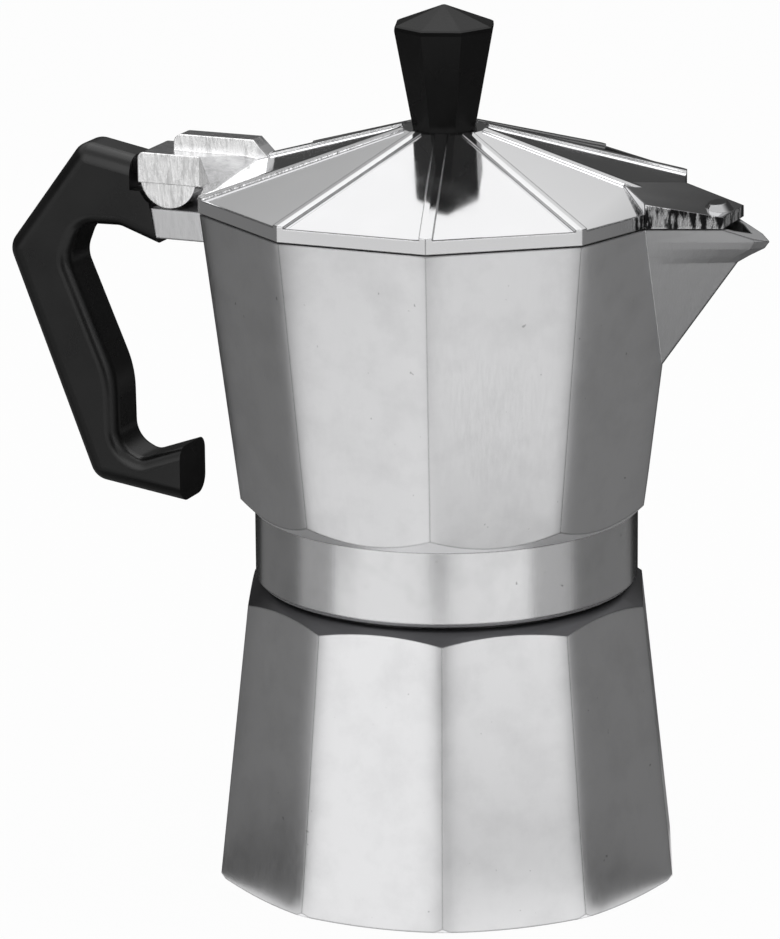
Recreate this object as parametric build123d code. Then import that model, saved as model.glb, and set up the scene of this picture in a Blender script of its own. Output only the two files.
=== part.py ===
"""Stove-top moka pot: ten-sided boiler and upper pot, hinged lid, funnel, seals and safety valve.

Millimetres, +Z up. The origin is the centre of the boiler's flat underside and +X points along the spout.
"""
from build123d import *
import math
import os

# Faceted bodies
facets = 10
boiler_base_corner_r = 44.85
boiler_shoulder_corner_r = 38.7
boiler_facet_top = 53.75
boiler_turn = 2.9
boiler_wall = 3.2
boiler_floor = 3.6
base_flat_r = 41.4
base_rise = 0.26
base_edge = 0.6
shoulder_rise = 0.55
shoulder_gap = 0.5

# Screwed neck and the skirt that closes over it
neck_r = boiler_shoulder_corner_r - 6.3
neck_bore_r = neck_r - 3.6
skirt_bottom = boiler_facet_top + 2.75
neck_top = skirt_bottom + 11.5
thread_clearance = 0.6
skirt_r = neck_r + 3.5
skirt_edge_r = 0.8

# Upper pot
pot_height = 57.4
pot_foot = skirt_bottom + 14.4
pot_foot_corner_r = skirt_r + 3.1
pot_rim = pot_foot + pot_height
pot_rim_corner_r = 46.2
pot_wall = 2.4
pot_floor = 3.0
underside_lip = 0.5

# Spout on the +X corner: for each height, x of the edge, two points along the lip and the root on the facet
spout_foot = pot_rim - 27.5
spout_set_back = 3.6
spout_channel_foot = pot_rim - 19.3
spout_lip_x = pot_rim_corner_r + 9.8
spout_lip_drop = 0.36
spout_shape = [
    (-6.9, 11.1, (9.1, 1.04), (5.8, 2.76), (-3.3, 7.5)),
    (-5.5, 13.3, (11.4, 1.5), (7.8, 3.1), (-3.3, 8)),
    (-3.9, 16.2, (14.1, 1.9), (9.4, 3.8), (-3.3, 8.6)),
    (-2.5, 17.2, (15, 2.3), (9.6, 4.3), (-3.3, 9.1)),
    (1, 17.4, (14.4, 3.4), (9.6, 5), (-3.3, 10.3)),
]
spout_levels = [
    (pot_rim + z, pot_rim_corner_r + edge, *[(pot_rim_corner_r + x, y) for x, y in corners])
    for z, edge, *corners in spout_shape]

# Lid
lid_gap = 0.35
lid_overhang = 0.3
lid_rim_height = 2.5
lid_slope = 0.286
lid_shell = 1.7
lid_seat_r = 8.0
rib_width = 2.4
rib_proud = 0.45
rim_ledge = 0.5
beak_apex_x = pot_rim_corner_r - 11.5
beak_wide_x = pot_rim_corner_r - 2.9
beak_wide_half = 10.4
beak_end_x = pot_rim_corner_r + 10.2
beak_end_half = 5.6
beak_slope = 0.176
beak_shell = 1.6
nub_size = (3.0, 4.2, 1.0)
nub_lean = 35.0

# Lid hinge on the -X corner
block_apex_x = pot_rim_corner_r - 10.2
block_wide_x = pot_rim_corner_r + 1.0
gusset_x = pot_rim_corner_r - 5.6
gusset_half = 15.5
block_rear_x = pot_rim_corner_r + 13.8
block_half = 5.7
block_top = pot_rim + 5.8
block_bottom = pot_rim
block_edge_r = 1.2
ear_x = pot_rim_corner_r + 7.8
ear_z = pot_rim + 1.0
ear_r = 5.7
ear_half = 5.3
pin_x = pot_rim_corner_r + 11.4
pin_z = pot_rim + 2.1
pin_r = 1.1
pin_clearance = 0.05
knuckle_r = 2.1
tongue_half = 2.1
hinge_gap = 0.3
slot_front_x = pot_rim_corner_r + 5.0
thumb_rear_x = pot_rim_corner_r + 8.0
thumb_front_x = pot_rim_corner_r - 8.4
thumb_half = 2.0
thumb_top = pot_rim + 9.0
thumb_edge_r = 1.8

# Lug and tang that carry the handle
lug_half = 5.4
lug_top = pot_rim - 4.9
lug_bottom = pot_rim - 10.6
lug_end_x = pot_rim_corner_r + 11.1
tang_end_x = pot_rim_corner_r + 22.8
tang_bottom = pot_rim - 6.1
tang_top = pot_rim - 1.7
tang_clearance = 0.15

# Handle
handle_thick = 11.6
handle_back_r = 3.4
handle_grip_r = 2.4
hook_end_x = pot_rim_corner_r + 6.2
handle_end_x = pot_rim_corner_r + 15.6
handle_screw_x = pot_rim_corner_r + 18.3
screw_r = 1.3
screw_head_r = 2.6
screw_head_height = 1.4
screw_clearance = 0.1
handle_seat = pot_rim - 7.4

# Lid knob
knob_sides = 8
knob_turn = -4.0
knob_base_r = 6.1
knob_top_r = 9.8
knob_height = 19.2
knob_cap_height = 3.6
knob_edge = 0.7
knob_screw_r = 1.8
knob_screw_depth = 11.0
knob_head_r = 3.6
knob_head_height = 2.0
knob_washer_r = 5.0
knob_washer_thick = 0.8

# Funnel
funnel_wall = 1.0
funnel_gap = 0.5
flange_overlap = 2.9
flange_thick = 1.0
basket_depth = 18.0
cone_depth = 6.0
stem_r = 4.8
stem_foot = 6.0
stem_flare = 0.8
strainer_thick = 0.9
strainer_hole_r = 0.9
strainer_rings = 2
strainer_pitch = 10.0

# Gasket and filter plate
gasket_thick = 3.4
gasket_bore_r = 26.0
seal_gap = 0.1
filter_r = 28.0
filter_thick = 1.0
filter_hole_r = 0.9
filter_rings = 2
filter_pitch = 10.0

# Riser column
column_r = 6.6
column_top_r = 5.0
column_bore_r = 3.4
column_top = pot_rim - 11.3
column_spigot_r = 7.4
column_fit = 0.02
column_flange = 1.6
column_port = 4.4

# Safety valve on a back facet of the boiler
valve_facet = 2
valve_height = 36.0
valve_hex_r = 6.6
valve_hex_length = 5.0
valve_nose_r = 4.4
valve_nose_length = 3.0
valve_shank_r = 4.0
valve_inside = 2.6
valve_bore_r = 2.6
valve_front_wall = 1.4
valve_fit = 0.05
washer_thick = 1.0
washer_rim = 2.4
stem_pin_r = 0.95
stem_collar_r = 2.3
stem_collar_thick = 1.2
stem_proud = 2.2
seat_thick = 1.5
seat_bore_r = 1.3
spring_wire = 0.45
spring_r = 1.7
spring_turns = 5
spring_seat_gap = 0.1

# Derived sizes
half_facet = math.pi / facets
facet_share = math.cos(half_facet)
boiler_taper = (boiler_base_corner_r - boiler_shoulder_corner_r) / boiler_facet_top
pot_taper = (pot_rim_corner_r - pot_foot_corner_r) / (pot_rim - pot_foot)
lid_bottom = pot_rim + lid_gap
lid_rim_top = lid_bottom + lid_rim_height
lid_corner_r = pot_rim_corner_r + lid_overhang
lid_top = lid_rim_top + lid_slope * (lid_corner_r - lid_seat_r)
flange_top = neck_top + flange_thick
gasket_bottom = flange_top + seal_gap
gasket_top = gasket_bottom + gasket_thick
filter_bottom = gasket_top + seal_gap
filter_top = filter_bottom + filter_thick
floor_under = filter_top + seal_gap
floor_top = floor_under + pot_floor
skirt_bore_r = neck_r + thread_clearance
basket_r = neck_bore_r - funnel_gap
basket_bottom = neck_top - basket_depth
valve_angle = boiler_turn + 180.0 / facets + 360.0 / facets * valve_facet


def pot_corner_r(z):
    """Corner radius of the upper pot's outside at height z."""
    return pot_foot_corner_r + pot_taper * (z - pot_foot)


def boiler_corner_r(z):
    """Corner radius of the boiler's outside at height z."""
    return boiler_base_corner_r - boiler_taper * z


def faceted(lower_r, lower_z, upper_r, upper_z, sides=facets, turn=0.0):
    """Straight-sided frustum between two regular polygons given by their corner radii."""
    lower = Pos(0, 0, lower_z) * RegularPolygon(lower_r, sides, rotation=turn)
    upper = Pos(0, 0, upper_z) * RegularPolygon(upper_r, sides, rotation=turn)
    return loft([lower, upper], ruled=True)


def outline(*points):
    """Closed face through points in the plane it is placed on."""
    return make_face(Polyline(*points, close=True))


def turned(*points):
    """Solid of revolution about Z from (radius, height) points."""
    return revolve(Plane.XZ * outline(*points), axis=Axis.Z)


def side_slab(points, half):
    """Slab of the given half thickness about the XZ plane, from (x, z) points."""
    return extrude(Plane.XZ * outline(*points), amount=half, both=True)


def tube(radius, bore, low, high):
    """Round tube about Z."""
    return turned((bore, low), (radius, low), (radius, high), (bore, high))


def hole_rings(rings, pitch, hole_r, low, high):
    """Round holes on rings of six, twelve, eighteen and so on, with one in the middle."""
    places = [(0.0, 0.0)]
    for ring in range(1, rings + 1):
        for step in range(6 * ring):
            angle = 2 * math.pi * step / (6 * ring)
            places.append((pitch * ring * math.cos(angle), pitch * ring * math.sin(angle)))
    holes = [Pos(x, y, low) * Cylinder(hole_r, high - low, align=(Align.CENTER, Align.CENTER, Align.MIN))
             for x, y in places]
    return holes


def make_boiler():
    """Ten-sided boiler with a turned shoulder and neck, open at the top and drilled for the valve."""
    shoulder_in = skirt_bottom - shoulder_gap
    shoulder_in_r = boiler_shoulder_corner_r - (shoulder_in - boiler_facet_top) / shoulder_rise
    block = faceted(boiler_base_corner_r, 0, boiler_corner_r(shoulder_in), shoulder_in, turn=boiler_turn)
    low_edge = base_rise * (boiler_base_corner_r - base_flat_r)
    limit = turned(
        (0, 0), (base_flat_r, 0), (boiler_base_corner_r - base_edge, low_edge),
        (boiler_base_corner_r, low_edge + 2 * base_edge),
        (boiler_base_corner_r, boiler_facet_top - shoulder_rise * (boiler_base_corner_r - boiler_shoulder_corner_r)),
        (shoulder_in_r, shoulder_in), (0, shoulder_in))
    body = (block & limit) + Cylinder(neck_r, neck_top, align=(Align.CENTER, Align.CENTER, Align.MIN))
    chamber_low_r = boiler_base_corner_r * facet_share - boiler_wall
    chamber_high_r = boiler_corner_r(boiler_facet_top) * facet_share - boiler_wall
    chamber_roof = boiler_facet_top - boiler_wall
    chamber = turned(
        (0, boiler_floor), (chamber_low_r - boiler_floor, boiler_floor), (chamber_low_r, 2 * boiler_floor),
        (chamber_high_r, chamber_roof), (neck_bore_r, chamber_roof + chamber_high_r - neck_bore_r),
        (neck_bore_r, neck_top), (0, neck_top))
    drill = valve_place() * Cylinder(valve_shank_r + valve_fit, 60, rotation=(90, 0, 0))
    return body - chamber - (drill & valve_zone())


def valve_zone():
    """Half space on the valve's side of the boiler, so that only one wall is drilled."""
    return Rot(0, 0, valve_angle) * Pos(50, 0, valve_height) * Box(60, 60, 60)


def valve_face_r():
    """Distance from the axis to the valve's facet at the valve's height."""
    return boiler_corner_r(valve_height) * facet_share


def valve_place():
    """Frame at the valve's seat on the facet, with local -Y pointing outwards."""
    return Rot(0, 0, valve_angle) * Pos(valve_face_r(), 0, valve_height) * Rot(0, 0, 90)


def valve_turned(*points):
    """Solid of revolution about the valve's axis from (radius, distance outwards from the facet) points."""
    profile = Plane.XY * outline(*points)
    solid = revolve(profile, axis=Axis.Y)
    return valve_place() * (Rot(0, 0, 180) * solid)


def valve_spans():
    """Distances outwards from the facet: washer top, nose end, shank's inner end and bore's outer end."""
    face = boiler_tilt_gap() + washer_thick
    nose_end = face + valve_hex_length + valve_nose_length
    inner_end = -(boiler_wall + valve_inside)
    return face, nose_end, inner_end, nose_end - valve_front_wall


def boiler_tilt_gap():
    """Room that the leaning facet needs under the square washer face."""
    return boiler_taper * facet_share * (valve_shank_r + washer_rim)


def make_valve_washer():
    face, nose_end, inner_end, bore_end = valve_spans()
    low = face - washer_thick
    return valve_turned((valve_shank_r + valve_fit, low), (valve_shank_r + washer_rim, low),
                        (valve_shank_r + washer_rim, face), (valve_shank_r + valve_fit, face))


def make_valve_body():
    """Hexagonal brass body: shank through the wall, hexagon and nose outside, stepped bore inside."""
    face, nose_end, inner_end, bore_end = valve_spans()
    shank = valve_turned((0, inner_end), (valve_shank_r, inner_end), (valve_shank_r, face + 1), (0, face + 1))
    nose = valve_turned((0, face), (valve_nose_r, face), (valve_nose_r, nose_end - 1), (valve_nose_r - 1, nose_end),
                        (0, nose_end))
    hexagon = extrude(RegularPolygon(valve_hex_r, 6), amount=valve_hex_length)
    hexagon = valve_place() * (Pos(0, -face, 0) * (Rot(90, 0, 0) * hexagon))
    bore = valve_turned((0, inner_end), (valve_bore_r, inner_end), (valve_bore_r, bore_end), (0, bore_end))
    hole_r = stem_pin_r + 2 * valve_fit
    hole = valve_turned((0, bore_end - 1), (hole_r, bore_end - 1), (hole_r, nose_end + 1), (0, nose_end + 1))
    return shank + nose + hexagon - bore - hole


def make_valve_seat():
    """Ring pressed into the shank's inner end, on which the stem's collar rests."""
    inner_end = valve_spans()[2]
    return valve_turned((seat_bore_r, inner_end), (valve_bore_r - valve_fit / 5, inner_end),
                        (valve_bore_r - valve_fit / 5, inner_end + seat_thick), (seat_bore_r, inner_end + seat_thick))


def make_valve_stem():
    """Stem with a sealing collar at its inner end and a free tip that shows at the nose."""
    face, nose_end, inner_end, bore_end = valve_spans()
    collar = inner_end + seat_thick + valve_fit
    tip = nose_end + stem_proud
    return valve_turned((0, collar), (stem_collar_r, collar), (stem_collar_r, collar + stem_collar_thick),
                        (stem_pin_r, collar + stem_collar_thick), (stem_pin_r, tip - 0.4), (stem_pin_r - 0.4, tip),
                        (0, tip))


def helix_point(angle, pitch):
    """Point on the spring's centre line and its direction there."""
    rise = pitch / (2 * math.pi)
    point = Vector(spring_r * math.cos(angle), spring_r * math.sin(angle), rise * angle)
    along = Vector(-spring_r * math.sin(angle), spring_r * math.cos(angle), rise)
    return point, along.normalized()


def biarc(start, start_along, end, end_along):
    """Two arcs that meet smoothly between two points with given directions."""
    chord = end - start
    both = start_along + end_along
    along = chord.dot(both)
    spare = 4 - both.dot(both)
    reach = (math.sqrt(along * along + spare * chord.dot(chord)) - along) / spare
    middle = (start + end + (start_along - end_along) * reach) * 0.5
    first = TangentArc(start, middle, tangent=start_along)
    second = TangentArc(middle, end, tangent=first % 1)
    return [first, second]


def make_valve_spring():
    """Coil of square wire between the stem's collar and the front wall of the body."""
    face, nose_end, inner_end, bore_end = valve_spans()
    low = inner_end + seat_thick + valve_fit + stem_collar_thick + spring_seat_gap + spring_wire / 2
    high = bore_end - spring_seat_gap - spring_wire / 2
    pitch = (high - low) / spring_turns
    print("valve spring: gap between turns", round(pitch - spring_wire, 2), "mm")
    arcs = []
    for half in range(2 * spring_turns):
        arcs += biarc(*helix_point(math.pi * half, pitch), *helix_point(math.pi * (half + 1), pitch))
    start, along = helix_point(0.0, pitch)
    section = Plane(origin=start, x_dir=(1, 0, 0), z_dir=along) * Rectangle(spring_wire, spring_wire)
    coil = sweep(section, path=Wire(arcs))
    return valve_place() * (Pos(0, -low, 0) * (Rot(90, 0, 0) * coil))


def make_funnel():
    """Drawn basket with a flange that rests on the neck and a cone that leads to the stem."""
    inner_r = basket_r - funnel_wall
    collar_r = stem_r + funnel_wall
    cone_low = basket_bottom - cone_depth
    collar_low = cone_low - cone_depth
    return turned(
        (inner_r, flange_top), (basket_r + flange_overlap, flange_top), (basket_r + flange_overlap, neck_top),
        (basket_r, neck_top), (basket_r, basket_bottom), (collar_r, cone_low), (collar_r, collar_low),
        (stem_r, collar_low), (stem_r, cone_low + funnel_wall), (inner_r, basket_bottom + funnel_wall))


def make_funnel_stem():
    """Tube pressed into the funnel's collar, flared at its foot."""
    top = basket_bottom - cone_depth
    bore = stem_r - funnel_wall
    fit_r = stem_r - column_fit
    foot = stem_foot + 3 * stem_flare
    return turned((bore, top), (fit_r, top), (fit_r, foot), (stem_r + stem_flare, stem_foot),
                  (bore + stem_flare, stem_foot), (bore, foot))


def make_funnel_strainer():
    """Perforated disc on the shoulder of the basket's floor."""
    low = basket_bottom + funnel_wall
    disc = turned((0, low), (basket_r - funnel_wall - column_fit, low),
                  (basket_r - funnel_wall - column_fit, low + strainer_thick), (0, low + strainer_thick))
    return disc - hole_rings(strainer_rings, strainer_pitch, strainer_hole_r, low, low + strainer_thick)


def make_gasket():
    """Flat rubber ring between the funnel's flange and the filter plate."""
    outer = neck_r - seal_gap
    soft = 0.5
    return turned((gasket_bore_r, gasket_bottom), (outer - soft, gasket_bottom), (outer, gasket_bottom + soft),
                  (outer, gasket_top - soft), (outer - soft, gasket_top), (gasket_bore_r, gasket_top))


def make_filter_plate():
    disc = turned((0, filter_bottom), (filter_r, filter_bottom), (filter_r, filter_top), (0, filter_top))
    return disc - hole_rings(filter_rings, filter_pitch, filter_hole_r, filter_bottom, filter_top)


def spout_ring(level):
    """Half outline of the spout at one height, from its edge along the lip and the facet into the pot."""
    z, edge_x, lip, flank, facet = level
    root_x = pot_foot_corner_r - 6.0
    spread = (facet[1] - flank[1]) / (flank[0] - facet[0])
    root = (root_x, facet[1] + spread * (facet[0] - root_x))
    return [(edge_x, 0.0), lip, flank, facet, root]


def spout_between(low_z):
    """Outline at a height below the lowest level, where the spout is a plain V down to its foot."""
    z, edge_x, lip, flank, facet = spout_levels[0]
    share = (low_z - spout_foot) / (z - spout_foot)
    foot = (pot_corner_r(spout_foot), 0.0)
    blend = [(foot[0] + share * (x - foot[0]), foot[1] + share * (y - foot[1]))
             for x, y in [(edge_x, 0.0), lip, flank, facet]]
    return (low_z, blend[0][0], *blend[1:])


def spout_solid(levels):
    """Ruled solid through the spout's outlines at these levels."""
    sections = []
    for level in levels:
        ring = spout_ring(level)
        mirrored = [(x, -y) for x, y in reversed(ring[1:])]
        sections.append(Pos(0, 0, level[0]) * outline(*ring, *mirrored))
    return loft(sections, ruled=True)


def make_spout_outside():
    return spout_solid([spout_between(spout_foot + 0.3), *spout_levels])


def make_spout_channel():
    """The same shape set back towards the pot, which leaves a wall along each side of the V."""
    return Pos(-spout_set_back, 0, 0) * spout_solid([spout_between(spout_channel_foot), *spout_levels])


def make_upper_pot():
    """Ten-sided pot with turned skirt, spout, and the lug, tongue and tang at the handle's corner."""
    block = faceted(pot_corner_r(pot_foot - 2), pot_foot - 2, pot_rim_corner_r, pot_rim)
    lip_r = skirt_r + underside_lip
    limit_top = pot_rim + 1
    wide = pot_rim_corner_r + 2
    limit = turned((0, pot_foot), (lip_r, pot_foot), (wide, pot_foot + wide - lip_r), (wide, limit_top), (0, limit_top))
    skirt = turned((0, skirt_bottom), (skirt_r - skirt_edge_r, skirt_bottom), (skirt_r, skirt_bottom + skirt_edge_r),
                   (skirt_r, pot_foot + 1), (0, pot_foot + 1))
    lip_end_x = spout_levels[-1][1] + 5.0
    slope = Plane.XZ * outline(
        (0, spout_foot - 3), (lip_end_x, spout_foot - 3),
        (lip_end_x, pot_rim - spout_lip_drop * (lip_end_x - spout_lip_x)), (spout_lip_x, pot_rim), (0, pot_rim))
    under_rim = extrude(slope, amount=pot_rim_corner_r, both=True)
    body = (block & limit) + skirt + (make_spout_outside() & under_rim)
    inset = pot_wall / facet_share
    cavity = faceted(pot_corner_r(floor_top) - inset, floor_top, pot_rim_corner_r - inset, pot_rim)
    under = turned(
        (0, skirt_bottom), (skirt_bore_r, skirt_bottom), (skirt_bore_r, gasket_top + seal_gap),
        (filter_r + 2 * seal_gap, gasket_top + seal_gap), (filter_r + 2 * seal_gap, floor_under),
        (gasket_bore_r, floor_under), (column_spigot_r, floor_under + pot_floor * 0.6),
        (0, floor_under + pot_floor * 0.6))
    body = body - cavity - make_spout_channel() - under
    body = body - Cylinder(column_spigot_r, 2 * floor_top)
    return body + make_lug(cavity)


def make_lug(cavity):
    """Handle lug, hinge tongue and tang, cast on the -X corner of the pot."""
    root_x = pot_corner_r(lug_bottom) - pot_wall
    lug = side_slab([(-root_x, lug_bottom), (-lug_end_x + 0.6, lug_bottom), (-lug_end_x - 0.4, lug_top),
                     (-root_x, lug_top)], lug_half)
    knuckle = Pos(-pin_x, 0, pin_z) * Cylinder(knuckle_r, 2 * tongue_half, rotation=(90, 0, 0))
    tongue = side_slab([(-pin_x - knuckle_r, pin_z), (-pin_x - knuckle_r, tang_top), (-tang_end_x, tang_top),
                        (-tang_end_x, tang_bottom), (-lug_end_x + 1.5, tang_bottom), (-lug_end_x + 1.5, lug_bottom + 1),
                        (-root_x, lug_bottom + 1), (-root_x, lug_top), (-slot_front_x - 1.6, lug_top),
                        (-pin_x + knuckle_r, pin_z)], tongue_half)
    bore = Pos(-pin_x, 0, pin_z) * Cylinder(pin_r, 4 * tongue_half, rotation=(90, 0, 0))
    tap = Pos(-handle_screw_x, 0, tang_bottom) * Cylinder(screw_r, 4 * tongue_half)
    return lug + tongue + knuckle - bore - tap - cavity


def make_column():
    """Riser tube on the pot's floor, closed at the top with two side ports."""
    flange_high = floor_top + column_flange
    neck = column_top - 2.0
    body = turned(
        (0, floor_under + pot_floor * 0.6), (column_spigot_r - column_fit, floor_under + pot_floor * 0.6),
        (column_spigot_r - column_fit, floor_top), (column_spigot_r + column_flange, floor_top),
        (column_spigot_r + column_flange, floor_top + 0.6), (column_r, flange_high + column_flange),
        (column_top_r, neck), (column_top_r - 1.5, column_top), (0, column_top))
    bore = Pos(0, 0, floor_under) * Cylinder(column_bore_r, neck - floor_under,
                                             align=(Align.CENTER, Align.CENTER, Align.MIN))
    ports = Pos(0, 0, neck - column_port) * Box(column_port * 0.8, 4 * column_r, column_port)
    return body - bore - ports


def rounded(ring):
    """Closed face from (point, corner radius) pairs in the XZ plane, points measured from the pot's rim corner."""
    points = [(x - pot_rim_corner_r, z + pot_rim) for (x, z), radius in ring]
    radii = [radius for corner, radius in ring]
    return Plane.XZ * make_face(FilletPolyline(*points, radius=radii, close=True))


def handle_blank():
    """Outer shape of the handle, run on towards the pot past the ends that are cut later."""
    back = [((2.2, 1.1), 3.6), ((-26.5, 6.6), 3.6), ((-42.4, -14.7), 4.0), ((-25.1, -59.3), 4.0),
            ((2.2, -63.2), 3.6)]
    blank = extrude(rounded(back), amount=handle_thick / 2, both=True)
    return fillet(blank.faces().filter_by(Axis.Y).edges(), handle_back_r)


def finger_room():
    """Space for the fingers between the grip, the arm above and the hook below, open towards the pot."""
    grip = [((16.2, -21.3), 1.0), ((-18.4, -9.1), 4.0), ((-26.6, -9.3), 5.0), ((-29.3, -16.3), 5.0),
            ((-19.8, -38.8), 20.0), ((-19.6, -52.1), 5.0), ((-15, -54.3), 3.0), ((16.2, -43.1), 1.0)]
    return extrude(rounded(grip), amount=handle_thick, both=True)


def handle_end():
    """Room at the pot end: in front of the hinge block, round the ear and against the lug's end face."""
    below = lug_bottom - 6.0
    hook = Pos(0, 0, below / 2) * Box(2 * hook_end_x, 4 * handle_thick, below)
    front = side_slab([(-handle_end_x, 2 * pot_rim), (-handle_end_x, tang_top), (-lug_end_x - 1.0, tang_top),
                       (-lug_end_x - 0.4, lug_top), (-lug_end_x + 0.6, lug_bottom), (-lug_end_x + 0.6, below),
                       (0, below), (0, 2 * pot_rim)], handle_thick)
    swing = Pos(-ear_x, 0, ear_z) * Cylinder(ear_r + 2 * hinge_gap, 2 * handle_thick, rotation=(90, 0, 0))
    return front + swing + hook


def make_handle():
    """Moulded black handle with a slot for the tang and a counterbored screw hole from below."""
    blank = handle_blank()
    room = finger_room()
    body = blank - room
    edges = [edge for edge in new_edges(blank, room, combined=body) if edge.center().X < -hook_end_x + 4]
    body = fillet(edges, handle_grip_r)
    slot_half = tongue_half + tang_clearance
    slot = side_slab([(-tang_end_x - tang_clearance, tang_bottom - tang_clearance), (0, tang_bottom - tang_clearance),
                      (0, tang_top + tang_clearance), (-tang_end_x - tang_clearance, tang_top + tang_clearance)],
                     slot_half)
    hole = Pos(-handle_screw_x, 0, tang_bottom - 5) * Cylinder(screw_r + screw_clearance, 10)
    head = Pos(-handle_screw_x, 0, handle_seat - 10) * Cylinder(screw_head_r + 2 * screw_clearance, 20)
    return body - handle_end() - slot - hole - head


def make_handle_screw():
    """Round-headed screw driven up through the handle into the tang."""
    low = handle_seat - screw_head_height
    return Pos(-handle_screw_x, 0, 0) * turned(
        (0, low), (screw_head_r - 0.8, low), (screw_head_r, low + 0.8), (screw_head_r, handle_seat),
        (screw_r - column_fit, handle_seat), (screw_r - column_fit, tang_top - 1.0), (0, tang_top - 1.0))


def make_hinge_pin():
    """Pin pressed into the tongue, on which the lid's two ears turn."""
    return Pos(-pin_x, 0, pin_z) * Cylinder(pin_r - column_fit, 2 * (block_half - 1.2), rotation=(90, 0, 0))


def make_lid():
    """Faceted shell with corner ribs, a beak over the spout and a hinge block over the lug."""
    skin = faceted(lid_corner_r - rim_ledge, lid_rim_top, lid_seat_r, lid_top)
    rim = extrude(Pos(0, 0, lid_bottom) * RegularPolygon(lid_corner_r, facets), amount=lid_rim_height)
    body = skin + rim + lid_ribs() + make_beak() + make_hinge_block()
    inner_r = lid_corner_r - lid_shell / facet_share
    hollow = extrude(Pos(0, 0, lid_bottom) * RegularPolygon(inner_r, facets), amount=lid_rim_height - lid_shell / 2)
    dome_low = lid_rim_top - lid_shell / 2
    dome = faceted(inner_r, dome_low, lid_seat_r, dome_low + lid_slope * (inner_r - lid_seat_r))
    return body - hollow - dome - beak_hollow() - hinge_room() - Cylinder(knob_screw_r + screw_clearance, 3 * lid_top)


def lid_ribs():
    """Roof-shaped rib along each ridge: a raised copy of the pyramid, kept in a narrow strip over each corner."""
    raised = faceted(lid_corner_r, lid_rim_top + rib_proud, lid_seat_r, lid_top + rib_proud)
    skirt = faceted(lid_corner_r, lid_rim_top - rib_proud, lid_corner_r, lid_rim_top + rib_proud)
    reach = lid_corner_r - lid_seat_r
    strip = Pos(lid_seat_r + reach / 2, 0, lid_top) * Box(reach, rib_width, 4 * lid_top)
    strips = [Rot(0, 0, 360.0 / facets * index) * strip for index in range(facets)]
    roof = raised + skirt
    return [roof & piece for piece in strips]


def kite(apex_x, wide_x, wide_half, end_x, end_half):
    """Kite-shaped outline along +X."""
    return outline((apex_x, 0), (wide_x, wide_half), (end_x, end_half), (end_x, -end_half), (wide_x, -wide_half))


def beak_top(x):
    return lid_rim_top + lid_slope * (lid_corner_r - beak_apex_x) - beak_slope * (x - beak_apex_x)


def under_beak_top(drop):
    """Everything below the beak's sloping top face, lowered by drop."""
    return side_slab([(0, 0), (beak_end_x + 5, 0), (beak_end_x + 5, beak_top(beak_end_x + 5) - drop),
                      (0, beak_top(0) - drop)], 2 * beak_wide_half)


def make_beak():
    """Flat-topped cover over the spout with a small nub at its end."""
    plan = Pos(0, 0, lid_bottom) * kite(beak_apex_x, beak_wide_x, beak_wide_half, beak_end_x, beak_end_half)
    beak = extrude(plan, amount=20) & under_beak_top(0.0)
    length, width, height = nub_size
    centre = beak_end_x - length
    nub = Pos(centre, 0, beak_top(centre) - height) * extrude(Ellipse(length, width), amount=2 * height, taper=nub_lean)
    return beak + nub


def beak_hollow():
    plan = kite(beak_apex_x + 3 * beak_shell, beak_wide_x, beak_wide_half - 1.3 * beak_shell,
                beak_end_x - beak_shell, beak_end_half - beak_shell)
    return extrude(Pos(0, 0, lid_bottom - 1) * plan, amount=20) & under_beak_top(beak_shell)


def make_hinge_block():
    """Block over the lug with two round ears and a thumb bar on top."""
    plan = Rot(0, 0, 180) * kite(block_apex_x, block_wide_x, block_half, block_rear_x, block_half)
    block = extrude(Pos(0, 0, block_bottom) * plan, amount=block_top - block_bottom)
    rear = block.edges().filter_by(Axis.Y).sort_by(Axis.X)[:2].sort_by(Axis.Z)[-1]
    block = fillet(rear, block_edge_r)
    ears = Pos(-ear_x, 0, ear_z) * Cylinder(ear_r, 2 * ear_half, rotation=(90, 0, 0))
    ears = ears & Pos(-ear_x, 0, ear_z - ear_r) * Box(4 * ear_r, 4 * ear_half, 2 * ear_r)
    bar = side_slab([(-thumb_rear_x, block_top - 1), (-thumb_rear_x, thumb_top), (-thumb_front_x, thumb_top),
                     (-thumb_front_x + thumb_top - block_top + 1, block_top - 1)], thumb_half)
    corner = bar.edges().filter_by(Axis.Y).sort_by(Axis.X)[:2].sort_by(Axis.Z)[-1]
    return block + ears + fillet(corner, thumb_edge_r) + make_gussets()


def make_gussets():
    """Sloping faces that lead from the block's top edges down to the rim of the lid."""
    plan = outline((-block_apex_x, 0), (-gusset_x, gusset_half), (-block_wide_x, block_half),
                   (-block_wide_x, -block_half), (-gusset_x, -gusset_half))
    wedge = extrude(Pos(0, 0, lid_bottom) * plan, amount=block_top - lid_bottom)
    apex = Vector(-block_apex_x, 0, block_top)
    for side in (1, -1):
        top = Vector(-block_wide_x, side * block_half, block_top)
        foot = Vector(-gusset_x, side * gusset_half, lid_rim_top)
        normal = (foot - apex).cross(top - apex) * side
        wedge = split(wedge, Plane(origin=apex, x_dir=top - apex, z_dir=normal), keep=Keep.BOTTOM)
    return wedge


def hinge_room():
    """Slot for the tongue, room over the pot's rim and corner, and the pin's holes."""
    plate = pin_z + knuckle_r + hinge_gap
    slot_half = tongue_half + hinge_gap
    slot = side_slab([(-block_rear_x - 5, ear_z - 2 * ear_r), (-slot_front_x, ear_z - 2 * ear_r),
                      (-slot_front_x, plate), (-block_rear_x - 5, plate)], slot_half)
    bore = Pos(-pin_x, 0, pin_z) * Cylinder(pin_r + pin_clearance, 2 * (block_half - 1.0), rotation=(90, 0, 0))
    rim_room = faceted(pot_rim_corner_r + hinge_gap, lug_bottom, pot_rim_corner_r + hinge_gap, lid_bottom)
    return [slot, bore, rim_room]


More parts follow.
